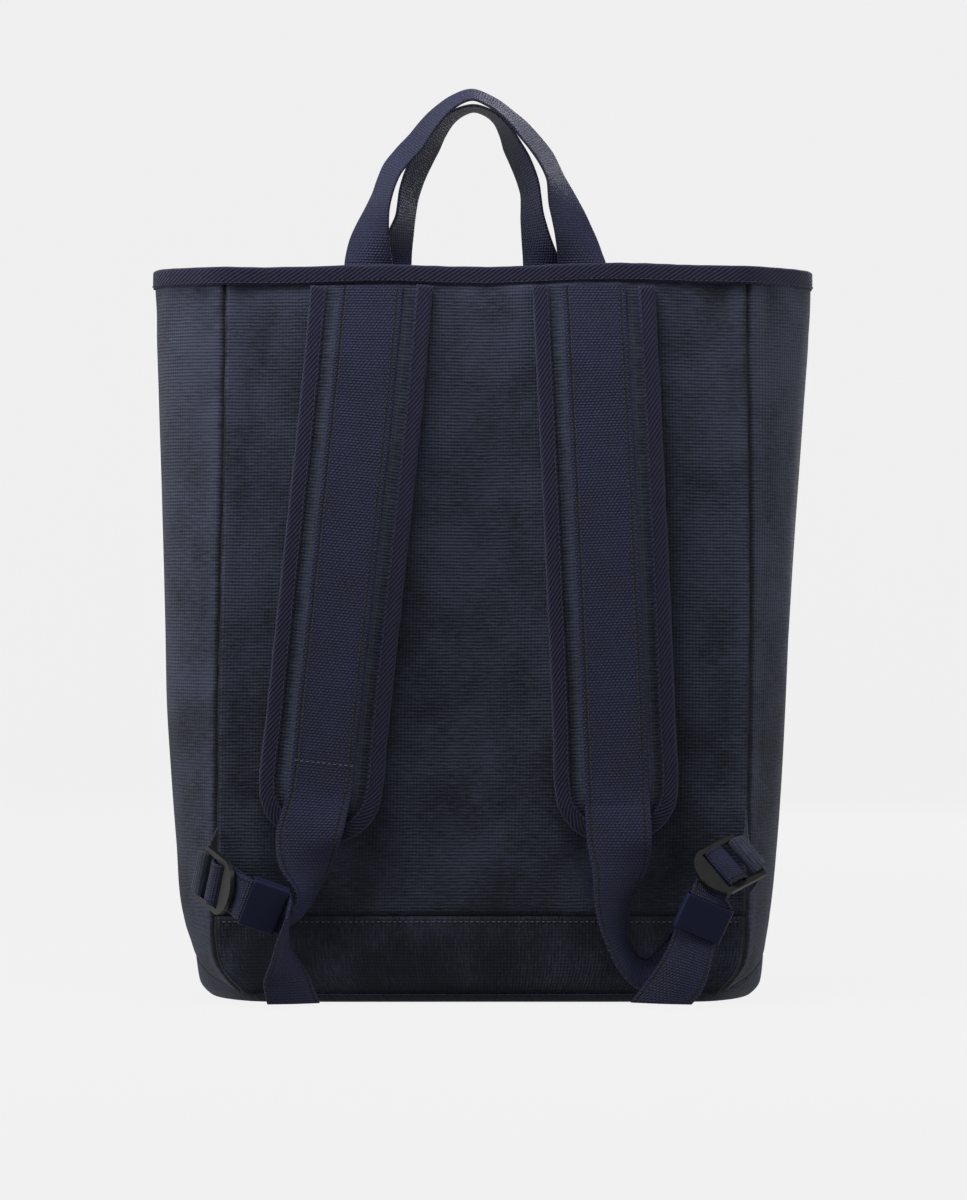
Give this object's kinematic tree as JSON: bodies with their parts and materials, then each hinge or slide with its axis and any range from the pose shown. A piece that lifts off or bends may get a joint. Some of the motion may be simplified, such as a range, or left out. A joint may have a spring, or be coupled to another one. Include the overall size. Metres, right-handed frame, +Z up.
{
  "type": "canvas backpack",
  "caption": "Open-topped canvas tote backpack with webbing carry handles, padded shoulder straps, ladder-lock buckles and webbing tails.",
  "frame": {"origin": "middle of the whole backpack's footprint, on the surface that it stands on", "axes": "+Z up, the shoulder straps are on the -Y side, +X to the right of someone looking at the straps"},
  "size_m": [0.4042, 0.1906, 0.5533],
  "materials": {
    "canvas": "washed navy cotton canvas, matt",
    "tape": "diagonal-rib navy twill tape",
    "webbing": "coarse navy webbing with a slight sheen",
    "keeper": "smooth blue elastic",
    "buckle_plastic": "matt olive-black moulded plastic"
  },
  "bodies": {
    "root": {"back_panel": "canvas", "back_lower_band": "canvas", "front_panel": "canvas", "gusset_left": "canvas", "gusset_right": "canvas", "base_panel": "canvas", "strap_pad_left": "canvas", "strap_pad_right": "canvas", "side_tab_left": "canvas", "side_tab_right": "canvas", "rim_binding": "tape", "pad_binding_left": "tape", "pad_binding_right": "tape", "handle_back": "webbing", "handle_front": "webbing", "strap_webbing_left": "webbing", "strap_webbing_right": "webbing", "keeper_left": "keeper", "keeper_right": "keeper", "buckle_left": "buckle_plastic", "buckle_right": "buckle_plastic"}
  },
  "joints": []
}
